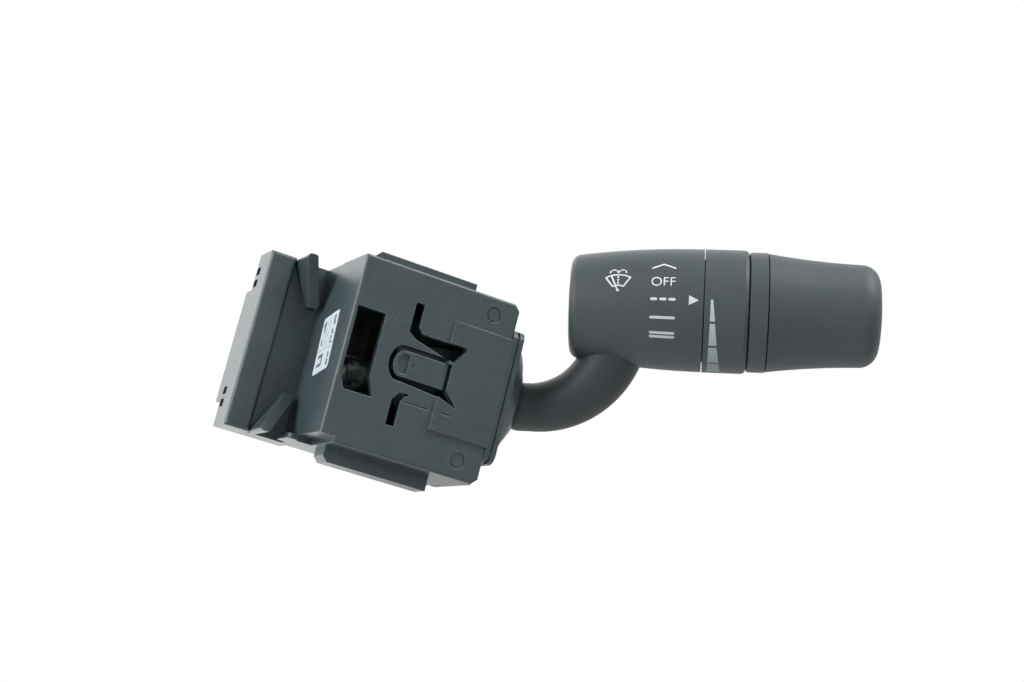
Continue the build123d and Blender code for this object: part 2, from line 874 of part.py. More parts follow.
def arm_body(radius, end_radius, root_radius, root_start):
    """Root spigot, elbow and bend of the arm as one solid."""
    lead = Plane.YZ * disc(radius, 0, arm_lead)
    outer = arm_frame * (arm_bend(radius, end_radius) + lead + Sphere(radius))
    return outer + root_frame * disc(root_radius, root_start, dome_radius)


def make_stalk_arm():
    """Hollow curved arm from the gimbal to the head."""
    arm = arm_body(arm_exit_radius, arm_head_radius, spigot_radius, spigot_start)
    arm -= Pos(pivot_x, pivot_y, pivot_z) * Sphere(dome_radius) - root_frame * disc(spigot_radius, 0, dome_radius)
    arm -= head_frame * disc(core_radius, -2 * barrel_length, cap_length)
    bore = arm_body(arm_bore, arm_bore, arm_bore, spigot_start - 1)
    return arm - bore


def make_lever_holder():
    """Hub on the pivot pin, with a socket for the arm and a tail for the return plunger."""
    half = carrier_half_height - carrier_cheek - hub_gap
    hub = disc(hub_radius, -half, half)
    hub += block(-tail_end, 0, -tail_half, tail_half, -tail_half, tail_half)
    hub = carrier_frame * hub
    dome_inside = dome_radius - dome_thickness
    hub += root_frame * disc(neck_radius, 0, boss_start + 1)
    boss = root_frame * disc(boss_radius, boss_start, dome_radius)
    boss -= Pos(pivot_x, pivot_y, pivot_z) * (Sphere(2 * dome_radius) - Sphere(dome_inside))
    hub += boss
    hub -= root_frame * disc(spigot_radius, spigot_start, dome_radius)
    hub -= carrier_frame * disc(pivot_pin_radius + snug, -2 * half, 2 * half)
    hub -= carrier_frame * bar_x(return_radius + snug, -tail_end - 1, -pivot_pin_radius - spring_seat)
    return hub


def make_return_plunger():
    """Plunger that brings the lever back after a washer pull."""
    return carrier_frame * plunger(return_radius, return_reach, return_length)


def make_return_spring():
    """Spring behind the return plunger."""
    x_back = -pivot_pin_radius - spring_seat
    return carrier_frame * spring_between(x_back, return_reach, return_length, return_travel)


# ---- lever: head ----
def bulge(start, end):
    """Arc between two (radius, height) points that runs along the axis at its wider point."""
    rise = abs(end[1] - start[1])
    swell = abs(end[0] - start[0])
    return RadiusArc(start, end, (rise ** 2 + swell ** 2) / (2 * swell))


def rounded_section(side, radius, end, base, corner):
    """Half section with a curved side, a flat end and a rounded corner between them."""
    section = make_face([
        side, Line((radius, end), (0, end)), Line((0, end), (0, base)), Line((0, base), side @ 0),
    ])
    tip = section.vertices().sort_by_distance((radius, end, 0))[0]
    return fillet(tip, corner)


def barrel_outline(inset):
    """Half section of the barrel, moved inwards by the inset."""
    base = -line_gap / 2
    small = barrel_small_radius - inset
    end = base - barrel_length + inset
    side = bulge((barrel_large_radius - inset, base), (small, end))
    return rounded_section(side, small, end, base, barrel_end_round - inset / 2)


def make_barrel():
    """Outer shell of the head with the marks on it."""
    solid = turned(barrel_outline(0))
    hollow = turned(barrel_outline(shell)) - disc(2 * barrel_large_radius, -shell, 0)
    body = head_frame * (solid - hollow - disc(core_radius, -core_into_barrel, 1))
    return body - arm_body(arm_exit_radius, arm_head_radius, spigot_radius, spigot_start)


def make_head_core():
    """Tube inside the head that carries dial, ring and cap."""
    start = -core_into_barrel
    length = line_gap / 2 + dial_length + line_gap + ring_length + line_gap + core_into_cap
    core = head_frame * (disc(core_radius, start, length) - disc(core_bore, start + shell, length + 1))
    return core - arm_body(arm_bore, arm_bore, arm_bore, spigot_start - 1)


dial_start = line_gap / 2
dial_end = dial_start + dial_length
ring_start = dial_end + line_gap
ring_end = ring_start + ring_length
cap_start = ring_end + line_gap
web_start = dial_start + dial_board_thickness + dial_web_gap
web_end = web_start + dial_web
notch_circle = dial_radius - dial_wall


def make_dial_ring():
    """Turning ring that sets the wiper interval."""
    body = disc(dial_radius, dial_start, dial_end)
    body = chamfer(body.edges().sort_by(Axis.Z)[-1], dial_bevel, dial_bevel_width)
    body -= disc(notch_circle, dial_start - 1, web_start)
    body -= disc(notch_circle, web_end, dial_end + 1)
    body -= disc(core_radius + snug, dial_start, dial_end)
    step = dial_sweep / (detent_notches - 1)
    for n in range(detent_notches):
        body -= Rot(0, 0, step * n - dial_sweep) * Pos(notch_circle, 0, 0) * disc(notch_radius, web_end, dial_end + 1)
    return head_frame * body


def make_dial_board():
    """Contact plate of the interval dial, fixed on the core."""
    return head_frame * ring(dial_board_radius, core_radius, -dial_start, dial_board_thickness - dial_start)


def make_dial_brush():
    """Sprung contact that the dial carries over its plate."""
    low = dial_board_thickness - dial_start + seat_gap
    middle = (core_radius + notch_circle) / 2
    foot = Pos(middle, 0, (low + web_start) / 2) * Box(dial_foot_width, dial_foot_length, web_start - low)
    half = dial_foot_length / 2
    sweep_strip = ring(middle + half, middle - half, web_start - brush_thickness, web_start)
    half_turn = Pos(-dial_radius, 0, web_start) * Box(2 * dial_radius, 4 * dial_radius, 4 * dial_web)
    return head_frame * (sweep_strip - half_turn + foot)


def make_fixed_ring():
    """Plain ring between dial and end cap."""
    body = disc(ring_radius, ring_start, ring_end)
    body = chamfer(body.edges().sort_by(Axis.Z)[0], ring_bevel)
    return head_frame * (body - disc(core_radius, ring_start - 1, ring_end + 1))


def make_detent_ball():
    """Sprung ball on an arm of the fixed ring that clicks in the dial's notches."""
    reach = notch_circle - seat_gap
    centre = reach - ball_radius
    z_ball = (web_end + dial_end) / 2
    back = centre - ball_arm_inset
    half = ball_arm_width / 2
    arm = block(back - ball_arm_thickness, back, -half, half, z_ball, ring_start)
    return head_frame * (arm + Pos(centre, 0, z_ball) * Sphere(ball_radius))


def make_end_cap():
    """Tapered cap that closes the head."""
    end = cap_start + cap_length

    def section(inset):
        """Half section of the cap, moved inwards."""
        tip = end - inset
        side = bulge((cap_radius - inset, cap_start), (cap_end_radius - inset, tip))
        return rounded_section(side, cap_end_radius - inset, tip, cap_start, cap_round - inset / 2)

    hollow = turned(section(shell)) - disc(2 * cap_radius, 0, cap_start + shell)
    spine = disc(core_radius + shell, cap_start, cap_start + core_into_cap)
    body = turned(section(0)) - hollow + spine
    return head_frame * (body - disc(core_radius, cap_start - 1, cap_start + core_into_cap))


def make_lead_wires():
    """Leads from the dial plate, bundled through the arm."""
    leads = arm_body(lead_radius, lead_radius, lead_radius, spigot_start)
    return leads - head_frame * disc(core_bore / 2, -2 * barrel_length, cap_length)


nodes = {
    "front_case": make_front_case,
    "base_case": make_base_case,
    "end_bezel": make_end_bezel,
    "case_rivets": make_rivets,
    "terminal_pins": make_terminal_pins,
    "detent_plate": make_detent_plate,
    "contact_board": make_contact_board,
    "contact_tracks": make_contact_tracks,
    "latch_tongue": make_latch_tongue,
    "gimbal_carrier": make_gimbal_carrier,
    "pivot_pin": make_pivot_pin,
    "select_spring": make_select_spring,
    "select_plunger": make_select_plunger,
    "contact_slider": make_contact_slider,
    "slider_brushes": make_slider_brushes,
    "lever_holder": make_lever_holder,
    "return_spring": make_return_spring,
    "return_plunger": make_return_plunger,
    "stalk_arm": make_stalk_arm,
    "shutter_dome": make_shutter_dome,
    "lead_wires": make_lead_wires,
    "head_core": make_head_core,
    "barrel": make_barrel,
    "dial_board": make_dial_board,
    "dial_brush": make_dial_brush,
    "dial_ring": make_dial_ring,
    "detent_ball": make_detent_ball,
    "fixed_ring": make_fixed_ring,
    "end_cap": make_end_cap,
}
for name, make in nodes.items():
    save(make(), name)
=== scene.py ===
import json
from math import cos, radians, sin

import bpy
from bpy.props import FloatProperty, FloatVectorProperty, PointerProperty
from bpy.types import Operator, Panel, PropertyGroup
from mathutils import Matrix, Vector


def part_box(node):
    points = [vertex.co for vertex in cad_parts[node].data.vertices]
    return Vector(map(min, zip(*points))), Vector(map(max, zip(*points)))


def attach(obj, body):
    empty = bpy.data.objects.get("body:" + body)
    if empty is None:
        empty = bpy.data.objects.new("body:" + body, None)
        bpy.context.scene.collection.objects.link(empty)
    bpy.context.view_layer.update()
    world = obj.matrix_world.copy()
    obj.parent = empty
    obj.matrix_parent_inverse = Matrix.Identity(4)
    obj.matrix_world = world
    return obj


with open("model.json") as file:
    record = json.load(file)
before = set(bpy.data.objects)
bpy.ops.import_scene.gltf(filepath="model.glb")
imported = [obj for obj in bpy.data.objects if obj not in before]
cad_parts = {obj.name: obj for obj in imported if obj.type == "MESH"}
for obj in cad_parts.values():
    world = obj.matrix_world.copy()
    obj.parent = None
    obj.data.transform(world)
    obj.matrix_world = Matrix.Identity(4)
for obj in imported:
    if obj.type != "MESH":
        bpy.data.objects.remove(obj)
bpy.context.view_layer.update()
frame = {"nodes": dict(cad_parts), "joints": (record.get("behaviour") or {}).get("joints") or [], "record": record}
NODES = frame["nodes"]
RECORD = frame["record"]
MM = 0.001

bl_info = {
    "name": "Combination stalk switch",
    "version": (1, 0, 0),
    "blender": (4, 5, 0),
    "location": "View3D > Sidebar > Stalk switch",
    "description": "Finishes, printed marks and stage for a wiper and washer stalk switch",
    "category": "Object",
}


def joint(name):
    """The record's entry for one joint."""
    return next(entry for entry in frame["joints"] if entry["name"] == name)


def slot_colour(slot):
    """The colour that the record gives one of its material slots."""
    materials = RECORD["materials"]
    return next(entry["base_color"] for entry in materials if entry["slot"] == slot)


# ---- sizes and colours that can be changed ----
def length(name, description, default):
    """A length property in metres, given in millimetres."""
    return FloatProperty(
        name=name, description=description, default=default * MM, unit="LENGTH", precision=5,
    )


def angle(name, description, default):
    """An angle property, given in degrees."""
    return FloatProperty(
        name=name, description=description, default=radians(default), unit="ROTATION",
    )


def colour(name, description, default):
    """A colour property."""
    return FloatVectorProperty(
        name=name, description=description, default=default,
        subtype="COLOR", size=3, min=0, max=1,
    )


class StalkSizes(PropertyGroup):
    """Sizes of the printed marks and the label"""

    ink: length("Ink", "Thickness of a printed mark", 0.05)
    mark_line: length(
        "Line of a mark", "Width of the bars printed for the wiper positions", 0.75,
    )
    mark_length: length(
        "Length of a mark", "Length of the bars printed for the wiper positions", 6.8,
    )
    mark_place: length(
        "Place of the marks", "Middle of the marks, from the dial towards the arm", 10.9,
    )
    letter_height: length("Letter height", "Height of the word OFF", 2.75)
    symbol_line: length("Line of the symbol", "Width of the lines in the washer symbol", 0.42)
    symbol_place: length(
        "Place of the symbol", "Middle of the washer symbol, from the dial towards the arm", 23.0,
    )
    scale_edge: length(
        "Edge of the scale",
        "Straight edge of the interval scale, from the gap beside the dial", 1.4,
    )
    scale_thin: length(
        "Thin end of the scale", "Width of the interval scale where it is thinnest", 0.6,
    )
    scale_wide: length(
        "Wide end of the scale", "Width of the interval scale where it is widest", 3.7,
    )
    scale_gap: length("Gap in the scale", "Gap between two blocks of the interval scale", 0.9)
    scale_lean: length(
        "Lean of the scale", "How far the straight edge leans at the thin end", 0.4,
    )
    label_height: length("Label height", "Long side of the label on the side wall", 16.6)
    label_width: length("Label width", "Short side of the label on the side wall", 11.8)
    label_wall: length(
        "Label wall", "Side wall that carries the label, from the column face", 17.3,
    )
    label_thickness: length("Label thickness", "Thickness of the label", 0.1)
    label_corner: length("Label corner", "Radius of the label's corners", 0.9)
    label_tilt: angle("Label tilt", "How far the label was stuck on askew", 8.4)
    head_roll: angle("Head roll", "Turn of the head about its own axis", 13.3)


class StalkColours(PropertyGroup):
    """Colours of the finishes, before their shader nodes"""

    case: colour("Case", "Moulded housing", (0.040, 0.064, 0.071))
    head: colour("Head", "Barrel, dial and cap", (0.049, 0.064, 0.071))
    # Painted shade: the arm gets a much darker copy of the head's colour, for the arm lying under the head.
    arm: colour("Arm", "Curved arm between the housing and the head", (0.0135, 0.021, 0.024))
    acetal: colour("Acetal", "Sliding pieces inside", slot_colour("acetal"))
    board: colour("Board", "Contact boards", slot_colour("board"))
    # Painted shade: the contacts are coloured far darker than tinned metal, standing in for the shade inside the
    # window.
    contact: colour(
        "Contacts", "Stamped contact metal, dulled by grease", (0.045, 0.041, 0.036),
    )
    steel: colour("Steel", "Pins and springs", slot_colour("steel"))
    lead: colour("Leads", "Insulation of the leads", slot_colour("lead"))
    ink: colour("Ink", "Printed marks", (0.92, 0.96, 0.97))
    scale: colour("Scale", "Interval scale on the dial", (0.66, 0.81, 0.88))
    label: colour("Label", "Paper label", (0.68, 0.79, 0.84))
    label_ink: colour("Label ink", "Print on the label", (0.05, 0.05, 0.06))
    floor: colour("Floor", "Plain floor", (0.85, 0.86, 0.86))


# ---- shader maths ----
class Wire:
    """One shader socket that can be used in sums and comparisons like a number."""

    def __init__(self, finish, socket):
        self.finish = finish
        self.socket = socket

    def maths(self, operation, first, second):
        return self.finish.node("ShaderNodeMath", {"operation": operation}, {0: first, 1: second})

    def __add__(self, other):
        return self.maths("ADD", self, other)

    def __rsub__(self, other):
        return self.maths("SUBTRACT", other, self)

    def __mul__(self, other):
        return self.maths("MULTIPLY", self, other)

    def __gt__(self, other):
        return self.maths("GREATER_THAN", self, other)

    def __lt__(self, other):
        return self.maths("LESS_THAN", self, other)

    __radd__ = __add__
    __rmul__ = __mul__


def opaque(tint):
    """A plain colour with its alpha of 1. A socket stays as it is."""
    return (*tint, 1) if isinstance(tint, tuple) else tint


class Finish:
    """Node tree of one material round a Principled shader."""

    def __init__(self, name, **constants):
        self.material = bpy.data.materials.new(name)
        self.material.use_nodes = True
        self.tree = self.material.node_tree
        self.shader = self.tree.nodes["Principled BSDF"]
        for socket, value in constants.items():
            self.shader.inputs[socket.replace("_", " ")].default_value = value

    def node(self, kind, settings=None, inputs=None, output=0):
        """Adds a node, its settings first and then the values and links of its sockets."""
        added = self.tree.nodes.new(kind)
        for key, value in (settings or {}).items():
            setattr(added, key, value)
        for key, value in (inputs or {}).items():
            self.put(added.inputs[key], value)
        return Wire(self, added.outputs[output])

    def put(self, socket, value):
        """Links a wire to a socket, or sets the socket's value."""
        if isinstance(value, Wire):
            self.tree.links.new(value.socket, socket)
        else:
            socket.default_value = value

    def feed(self, socket, value):
        """Links what changes over the surface to the shader."""
        self.put(self.shader.inputs[socket], value)

    def place(self):
        """The object's own coordinates, in metres."""
        return self.node("ShaderNodeTexCoord", output="Object")

    def split(self, vector):
        """The three numbers of a vector."""
        return [
            self.node("ShaderNodeSeparateXYZ", None, {0: vector}, output=axis)
            for axis in range(3)
        ]

    def noise(self, size, detail=2.0, roughness=0.5):
        """Noise from 0 to 1 whose lumps are about the given size in metres."""
        return self.node("ShaderNodeTexNoise", None, {
            "Vector": self.place(), "Scale": 1 / size,
            "Detail": detail, "Roughness": roughness,
        })

    def ramp(self, value, low, high):
        """Spreads the part of a value between low and high over 0 to 1."""
        return self.node("ShaderNodeMapRange", None, {0: value, 1: low, 2: high, 3: 0.0, 4: 1.0})

    def mix(self, factor, first, second):
        """One colour passing into another."""
        return self.node(
            "ShaderNodeMix", {"data_type": "RGBA"},
            {0: factor, 6: opaque(first), 7: opaque(second)}, output=2,
        )

    def bump(self, height, distance, normal):
        """Normal of a surface raised by a height, whose full range is the distance."""
        inputs = {"Height": height, "Distance": distance, "Normal": normal}
        return self.node("ShaderNodeBump", None, inputs)

    def rounded(self, radius):
        """Normal with the sharp edges eased."""
        return self.node("ShaderNodeBevel", {"samples": 6}, {"Radius": radius})

    def edges(self, radius, gain):
        """1 on the sharp edges and 0 away from them."""
        flat = self.node("ShaderNodeNewGeometry", output="Normal")
        along = self.node("ShaderNodeVectorMath", {"operation": "DOT_PRODUCT"},
                          {0: flat, 1: self.rounded(radius)}, output="Value")
        return self.ramp((1.0 - along) * gain, 0.0, 1.0)


def shade(base, factor):
    """A colour made darker or lighter."""
    return tuple(min(1.0, channel * factor) for channel in base)


def case_plastic(base):
    """Satin glass-filled plastic with flow marks, dust and painted highlights on its sharp edges."""
    finish = Finish("case_plastic", IOR=1.5)
    cloud = finish.noise(9 * MM, 3.0)
    grain = finish.noise(0.45 * MM, 2.0)
    patchy = finish.noise(1.8 * MM, 2.0)
    speck = finish.ramp(finish.noise(0.55 * MM, 1.0), 0.735, 0.80)
    # Painted highlight: the edge mask, broken up by noise, lightens the colour of the sharp edges.
    edge = finish.edges(0.42 * MM, 6.0) * finish.ramp(finish.noise(2.5 * MM), 0.15, 0.7)
    mottle = 0.4 * cloud + 0.3 * patchy + 0.3 * grain
    tone = finish.mix(mottle, shade(base, 0.35), shade(base, 1.65))
    tone = finish.mix(edge * 0.6, tone, shade(base, 5.0))
    tone = finish.mix(speck * 0.35, tone, shade(base, 6.0))
    finish.feed("Base Color", tone)
    finish.feed("Roughness", 0.26 + 0.1 * cloud + 0.08 * grain)
    finish.feed("Normal", finish.bump(grain, 0.012 * MM, finish.rounded(0.25 * MM)))
    return finish.material


def head_plastic(base, name="head_plastic"):
    """Fine-grained grip plastic, with painted highlights on its sharp edges."""
    finish = Finish(name, IOR=1.48)
    cloud = finish.noise(14 * MM, 2.0)
    grain = finish.noise(0.4 * MM, 3.0, 0.6)
    # Painted highlight: the edge mask lightens the colour of the sharp edges.
    edge = finish.edges(0.3 * MM, 5.0)
    tone = finish.mix(0.35 * cloud + 0.65 * grain, shade(base, 0.4), shade(base, 1.6))
    tone = finish.mix(edge * 0.25, tone, shade(base, 3.0))
    finish.feed("Base Color", tone)
    finish.feed("Roughness", 0.5 + 0.12 * grain)
    finish.feed("Normal", finish.bump(grain, 0.02 * MM, finish.rounded(0.2 * MM)))
    return finish.material


def acetal_plastic(base):
    """Natural acetal with smears of grey grease."""
    finish = Finish("acetal", IOR=1.48, Subsurface_Weight=0.1, Subsurface_Scale=0.8 * MM)
    smear = finish.ramp(finish.noise(2.2 * MM, 3.0, 0.6), 0.42, 0.62)
    finish.feed("Base Color", finish.mix(smear, base, shade(base, 0.45)))
    finish.feed("Roughness", 0.42 - 0.27 * smear)
    finish.feed("Normal", finish.bump(smear, 0.08 * MM, finish.rounded(0.2 * MM)))
    return finish.material


# The grease fades out between these distances from the column face.
GREASE_FULL = 27.0 * MM
GREASE_END = 31.0 * MM
GREASE = (0.55, 0.64, 0.65)


def greased_plastic(base):
    """Black sliding plastic with smears of pale grease near the window."""
    finish = Finish("greased_plastic", IOR=1.5)
    near = finish.ramp(
        finish.split(finish.place())[0] * (-1 / MM), -GREASE_END / MM, -GREASE_FULL / MM,
    )
    smear = finish.ramp(finish.noise(3.2 * MM, 4.0, 0.6), 0.47, 0.60) * near
    tone = finish.noise(0.9 * MM, 2.0)
    finish.feed("Base Color", finish.mix(smear * (0.5 + 0.7 * tone), base, GREASE))
    finish.feed("Roughness", 0.4 - 0.22 * smear)
    finish.feed("Normal", finish.bump(smear, 0.15 * MM, finish.rounded(0.2 * MM)))
    return finish.material


def laminate_board(base):
    """Paper-filled laminate."""
    finish = Finish("board", IOR=1.5)
    fibre = finish.noise(0.6 * MM, 4.0, 0.6)
    finish.feed("Base Color", finish.mix(fibre, shade(base, 0.75), shade(base, 1.2)))
    finish.feed("Roughness", 0.45 + 0.15 * fibre)
    return finish.material


def contact_metal(base):
    """Stamped and tinned contact metal."""
    finish = Finish("contact_metal", Metallic=1.0)
    stain = finish.noise(1.2 * MM, 3.0)
    finish.feed("Base Color", finish.mix(stain, shade(base, 0.8), shade(base, 1.1)))
    finish.feed("Roughness", 0.22 + 0.2 * stain)
    return finish.material


def drawn_steel(base):
    """Bright drawn steel."""
    finish = Finish("steel", Metallic=1.0)
    stain = finish.noise(0.9 * MM, 3.0)
    finish.feed("Base Color", finish.mix(stain, shade(base, 0.85), shade(base, 1.15)))
    finish.feed("Roughness", 0.25 + 0.15 * stain)
    return finish.material


def lead_insulation(base):
    """Soft insulation of the leads."""
    finish = Finish("lead", IOR=1.5)
    stain = finish.noise(1.5 * MM, 2.0)
    finish.feed("Base Color", finish.mix(stain, shade(base, 0.8), shade(base, 1.5)))
    finish.feed("Roughness", 0.4 + 0.2 * stain)
    return finish.material


def printed_ink(name, base):
    """Opaque printed ink, a little uneven."""
    finish = Finish(name, IOR=1.45)
    patch = finish.noise(0.5 * MM, 2.0)
    finish.feed("Base Color", finish.mix(patch, shade(base, 0.92), shade(base, 1.05)))
    finish.feed("Roughness", 0.45 + 0.15 * patch)
    return finish.material


def label_paper(base, ink, centre, tilt):
    """White label with rows of dashes, a rule and one dark block, bare of words."""
    finish = Finish("label_paper", IOR=1.45)
    flat = finish.node("ShaderNodeMapping", {"vector_type": "TEXTURE"},
                       {"Vector": finish.place(), "Location": centre, "Rotation": (tilt, 0, 0)})
    across, along = [part * (1 / MM) for part in finish.split(flat)[1:]]

    def between(value, low, high):
        """1 between two places, in millimetres from the middle of the label."""
        return (value > low) * (value < high)

    broken = finish.noise(1.5 * MM, 1.0) > 0.48
    upper = between(along, -0.9, 7.2)
    bold = between(across, -4.6, -2.7) + between(across, 3.0, 4.6)
    fine = between(across, -0.4, 0.2) + between(across, 1.2, 1.6)
    lower = between(along, -7.4, -2.2) * between(across, -4.7, -3.3)
    rule = between(along, -1.75, -1.5) * between(across, -4.4, 5.9)
    block = between(along, -6.4, -2.9) * between(across, 0.4, 4.0)
    bare = between(along, -5.5, -3.9) * between(across, 1.4, 4.1)
    rows = broken * (upper * bold + upper * fine * 0.5 + lower)
    printed = (rows + rule * 0.7 + block * (1.0 - bare)) * 0.85
    finish.feed("Base Color", finish.mix(printed, base, ink))
    finish.feed("Roughness", 0.42 + 0.1 * finish.noise(1.0 * MM))
    return finish.material


# ---- modelling helpers ----
def deselect():
    """Leaves nothing selected."""
    if bpy.context.mode != "OBJECT":
        bpy.ops.object.mode_set(mode="OBJECT")
    bpy.ops.object.select_all(action="DESELECT")


def pick(piece):
    """Selects one piece and makes it the active one."""
    deselect()
    piece.select_set(True)
    bpy.context.view_layer.objects.active = piece


def edit_all():
    """Opens the active piece for editing with all of its mesh selected."""
    bpy.ops.object.mode_set(mode="EDIT")
    bpy.ops.mesh.select_all(action="SELECT")


def named(name):
    """The new piece, renamed."""
    piece = bpy.context.object
    piece.name = name
    piece.data.name = name
    return piece


def settle(piece):
    """Puts the piece's place into its mesh."""
    pick(piece)
    bpy.ops.object.transform_apply(location=True, rotation=True, scale=True)


def modify(piece, kind, **settings):
    """Adds a modifier and applies it."""
    pick(piece)
    modifier = piece.modifiers.new(kind.title(), kind)
    for key, value in settings.items():
        setattr(modifier, key, value)
    bpy.ops.object.modifier_apply(modifier=modifier.name)


def join(pieces, name):
    """Makes one piece of several."""
    deselect()
    for piece in pieces:
        piece.select_set(True)
    bpy.context.view_layer.objects.active = pieces[0]
    bpy.ops.object.join()
    return named(name)


def finish_piece(piece, material, body):
    """Gives a piece its material and the body it rides on."""
    piece.data.materials.clear()
    piece.data.materials.append(material)
    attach(piece, body)


# ---- the head's own frame ----
DIAL = joint("dial_turn")
HEAD_AXIS = -Vector(DIAL["axis"])
HEAD_ORIGIN = Vector(DIAL["pos_m"])
CLEAR = 22 * MM  # from the head's axis to a point outside it


def facing(turn, along, roll):
    """Matrix of a flat patch outside the head: X along the head, Y up its front, Z outwards."""
    level = (Vector((0, 0, 1)) - HEAD_AXIS * HEAD_AXIS.z).normalized()
    out = Matrix.Rotation(roll + turn, 3, HEAD_AXIS) @ level
    spin = Matrix((HEAD_AXIS, out.cross(HEAD_AXIS), out)).transposed().to_4x4()
    return Matrix.Translation(HEAD_ORIGIN + HEAD_AXIS * along + out * CLEAR) @ spin


ROUND_END = 0.49  # corner radius of a bar, as a share of its width


def line(start, end, width):
    """Flat bar with round ends between two points."""
    start, end = Vector(start), Vector(end)
    run = end - start
    deselect()
    bpy.ops.mesh.primitive_plane_add(size=1, location=((start + end) / 2).to_3d())
    piece = bpy.context.object
    piece.scale = (run.length + width, width, 1)
    bpy.ops.object.transform_apply(location=False, rotation=False, scale=True)
    edit_all()
    bpy.ops.mesh.bevel(offset=width * ROUND_END, segments=4, affect="VERTICES")
    bpy.ops.object.mode_set(mode="OBJECT")
    piece.rotation_euler.z = run.angle_signed(Vector((1, 0)), 0) if run.length else 0
    settle(piece)
    return piece


def strokes(points, width):
    """Flat bars that follow a row of points."""
    return [line(start, end, width) for start, end in zip(points, points[1:])]


def face(points):
    """Flat face through the given points."""
    deselect()
    bpy.ops.mesh.primitive_circle_add(vertices=len(points), radius=1, fill_type="NGON")
    piece = bpy.context.object
    for vertex, (x, y) in zip(piece.data.vertices, points):
        vertex.co = (x, y, 0)
    pick(piece)
    edit_all()
    bpy.ops.mesh.normals_make_consistent(inside=False)
    bpy.ops.object.mode_set(mode="OBJECT")
    return piece


def lay(flat, place, target, ink, cuts=2):
    """Wraps a flat mark on the head's surface and gives the ink its thickness."""
    pick(flat)
    edit_all()
    bpy.ops.mesh.quads_convert_to_tris()
    bpy.ops.mesh.subdivide(number_cuts=cuts)
    bpy.ops.object.mode_set(mode="OBJECT")
    flat.matrix_world = place
    modify(
        flat, "SHRINKWRAP", target=NODES[target], wrap_method="PROJECT",
        use_project_x=False, use_project_y=False, use_project_z=True,
        use_negative_direction=True, use_positive_direction=False,
    )
    modify(flat, "SOLIDIFY", thickness=ink, offset=0.0)
    settle(flat)
    return flat


# ---- operators ----
FINISH_OF_SLOT = {
    "case_plastic": (case_plastic, "case"),
    "head_plastic": (head_plastic, "head"),
    "acetal": (acetal_plastic, "acetal"),
    "board": (laminate_board, "board"),
    "contact_metal": (contact_metal, "contact"),
    "steel": (drawn_steel, "steel"),
    "lead": (lead_insulation, "lead"),
}


class STALK_OT_finishes(Operator):
    """Give every piece of the frame its material"""

    bl_idname = "stalk.finishes"
    bl_label = "Finishes of the frame"

    def execute(self, context):
        colours = context.scene.stalk_colours
        made = {
            slot: maker(tuple(getattr(colours, key)))
            for slot, (maker, key) in FINISH_OF_SLOT.items()
        }
        special = {
            # The arm takes the head plastic with its darker colour, a painted shade.
            "stalk_arm": head_plastic(tuple(colours.arm), "arm_plastic_painted_shade"),
            "gimbal_carrier": greased_plastic(tuple(colours.case)),
        }
        for part in RECORD["subparts"]:
            node = NODES[part["node"]]
            node.data.materials.clear()
            usual = made[part["material_slot"]]
            node.data.materials.append(special.get(part["node"], usual))
        return {"FINISHED"}


# Turn of each mark round the head, in degrees from the top.
TURNS = {
    "mark_mist": 46.8, "mark_off": 64.8, "mark_interval": 81.4,
    "mark_index": 81.7, "mark_low": 98.5, "mark_high": 115.1,
}
MIST_PEAK, MIST_FOOT = 0.75 * MM, -0.7 * MM
MIST_LINE = 0.6  # width of its line, as a share of the other bars'
DASH_LENGTH = 0.38  # a dash of the interval mark, as a share of half the mark
DASH_PLACE = 0.8  # middle of an outer dash, as a share of half the mark
HIGH_SPREAD = 0.56 * MM
INDEX_PLACE = -2.75 * MM
INDEX_BACK, INDEX_TIP, INDEX_HALF = -1.25 * MM, 1.4 * MM, 1.3 * MM
CAPITAL_HEIGHT = 0.72  # height of a capital, as a share of the letter size
LETTER_THINNING = -0.01 * MM


class STALK_OT_position_marks(Operator):
    """Print the marks of the wiper positions and the index of the dial on the barrel"""

    bl_idname = "stalk.position_marks"
    bl_label = "Position marks"

    def execute(self, context):
        sizes = context.scene.stalk_sizes
        ink = printed_ink("ink", tuple(context.scene.stalk_colours.ink))
        width = sizes.mark_line
        half = (sizes.mark_length - width) / 2
        dash = half * DASH_LENGTH

        def put(name, flats, along=-sizes.mark_place):
            place = facing(radians(TURNS[name]), along, sizes.head_roll)
            laid = [lay(flat, place, "barrel", sizes.ink) for flat in flats]
            finish_piece(join(laid, name), ink, "lever")

        roof = [(-half, MIST_FOOT), (0, MIST_PEAK), (half, MIST_FOOT)]
        put("mark_mist", strokes(roof, width * MIST_LINE))
        middles = (-half * DASH_PLACE, 0, half * DASH_PLACE)
        dashes = [line((x - dash / 2, 0), (x + dash / 2, 0), width) for x in middles]
        put("mark_interval", dashes)
        put("mark_low", [line((-half, 0), (half, 0), width)])
        pair = [line((-half, y), (half, y), width) for y in (HIGH_SPREAD, -HIGH_SPREAD)]
        put("mark_high", pair)
        index = face([(INDEX_BACK, INDEX_HALF), (INDEX_BACK, -INDEX_HALF), (INDEX_TIP, 0)])
        put("mark_index", [index], INDEX_PLACE)
        deselect()
        bpy.ops.object.text_add()
        word = context.object.data
        word.body = "OFF"
        word.align_x = "CENTER"
        word.align_y = "CENTER"
        word.size = sizes.letter_height / CAPITAL_HEIGHT
        word.offset = LETTER_THINNING
        bpy.ops.object.convert(target="MESH")
        put("mark_off", [context.object])
        return {"FINISHED"}


